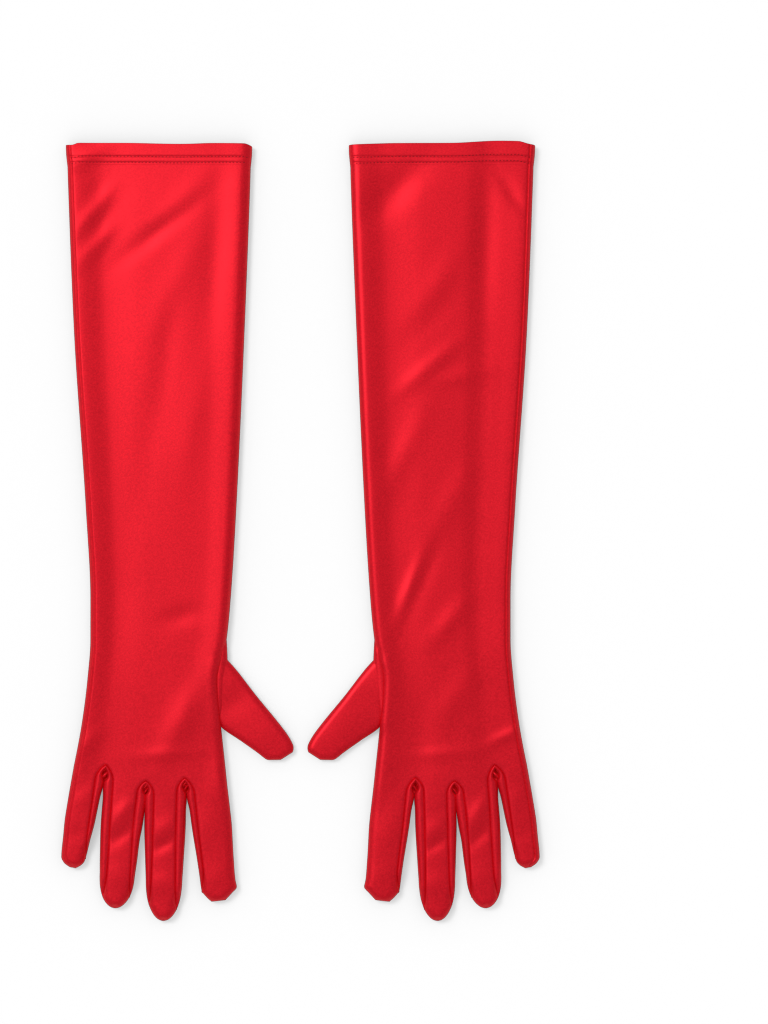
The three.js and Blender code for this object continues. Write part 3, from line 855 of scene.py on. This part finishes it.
# ---- Hem -----------------------------------------------------------------------------------------
# The cuff is turned in by 13 mm and held by two rows of twin-needle stitches. The dull reverse of
# the satin is only seen on this facing and on the raw edges of the side seam.
REVERSE_DEEP = (0.42, 0.004, 0.014)
REVERSE_BRIGHT = (0.62, 0.012, 0.03)
FACING_WALL = 0.3
FACING_INSIDE = 0.62  # from the sleeve's outer surface to the facing
FACING_GAP = 0.03  # half of the least gap between its two sides
reverse = knit_cloth("red_satin_reverse", REVERSE_DEEP, REVERSE_BRIGHT, 0.7, 0.0, 0.3, 0.7)
levels = np.linspace(CUFF - 0.1, CUFF - HEM_DEPTH, 14)
for side in MIRROR:
    points = sleeve_points(side, levels, columns)
    back, palm = trank_heights(side, points)
    middle = (back + palm) / 2
    inner = points + np.array([1, 0]) * (points.mean(axis=1, keepdims=True) - points) * 0.018
    gap = np.maximum((back - palm) / 2 - FACING_INSIDE, FACING_GAP)
    gap[:, [0, -1]] = 0
    faces = both_faces(side, inner, middle + gap, middle - gap, reverse)
    facing = sew_together(f"{side}_facing", faces, wall=FACING_WALL)
    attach(facing, f"{side}_upper_sleeve")
    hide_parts(f"{side}_hem_facing")

# ---- Stitches ------------------------------------------------------------------------------------
# Two rows of short stitches in matching thread, 3.6 mm apart, lie in two narrow grooves round the
# hem, on the back and on the palm. The thread is painted far darker than the satin: painted shade
# of the grooves it lies in.
STITCH_SIZE = (1.3, 0.5, 0.5)
STITCH_PITCH = 2.1
FIRST_STITCH, LAST_STITCH = 3.4, 2.2  # from the little-finger edge, and from the thumb-side edge
# painted shade: the thread is coloured far darker than the satin it matches, for the shade in its
# grooves
THREAD_PAINTED_SHADE_DEEP = (0.16, 0.000, 0.004)
THREAD_PAINTED_SHADE_BRIGHT = (0.30, 0.002, 0.010)
thread = knit_cloth("red_thread", THREAD_PAINTED_SHADE_DEEP, THREAD_PAINTED_SHADE_BRIGHT, 0.5, 0.0, 0.1, 0.4)
for side in MIRROR:
    for row, below in STITCH_ROWS.items():
        bm = bmesh.new()
        level = CUFF - below
        points = sleeve_points(side, np.array([level + 0.5, level, level - 0.5]), columns)
        back, palm = trank_heights(side, points)
        across, along = points[1, :, 0], points[1, :, 1]
        for surface in (back[1], palm[1]):
            for x in np.arange(across[0] + FIRST_STITCH, across[-1] - LAST_STITCH, STITCH_PITCH):
                place = place_of(side, x, np.interp(x, across, along), np.interp(x, across, surface))
                ball = bmesh.ops.create_uvsphere(bm, u_segments=6, v_segments=5, radius=0.5 * MM)
                bmesh.ops.scale(bm, verts=ball["verts"], vec=STITCH_SIZE)
                bmesh.ops.translate(bm, verts=ball["verts"], vec=place)
        stitches = new_object(f"{side}_stitches_{row}", bm, thread)
        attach(stitches, f"{side}_upper_sleeve")
        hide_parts(f"{side}_hem_thread_{row}")

# ---- Seam allowance ------------------------------------------------------------------------------
# Inside the sleeve, the raw edges of the side seam hang from the back as a narrow ribbon.
RIBBON_WALL = 0.4
RIBBON_ACROSS = np.array([3.2, 4.2, 5.4, 6.6, 7.6])  # from the edge of the sleeve
RIBBON_BELOW = np.array([1.0, 1.25, 1.4, 1.5, 1.55])  # under the surface of the back
levels = np.linspace(CUFF - HEM_DEPTH - 2, SLEEVE_END, 120)
for side in MIRROR:
    points = sleeve_points(side, levels, columns)
    back, palm = trank_heights(side, points)
    across = points[:, :1, 0] + RIBBON_ACROSS
    ribbon = np.stack([across, np.repeat(points[:, :1, 1], len(RIBBON_ACROSS), axis=1)], axis=-1)
    hang = [np.interp(x, row[:, 0], z) - RIBBON_BELOW for x, row, z in zip(across, points, back)]
    panel = sew_panel("ribbon", side, ribbon, np.array(hang), reverse)
    allowance = sew_together(f"{side}_seam_allowance", [panel], wall=RIBBON_WALL)
    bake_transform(allowance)
    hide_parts(f"{side}_upper_seam_allowance", f"{side}_lower_seam_allowance")
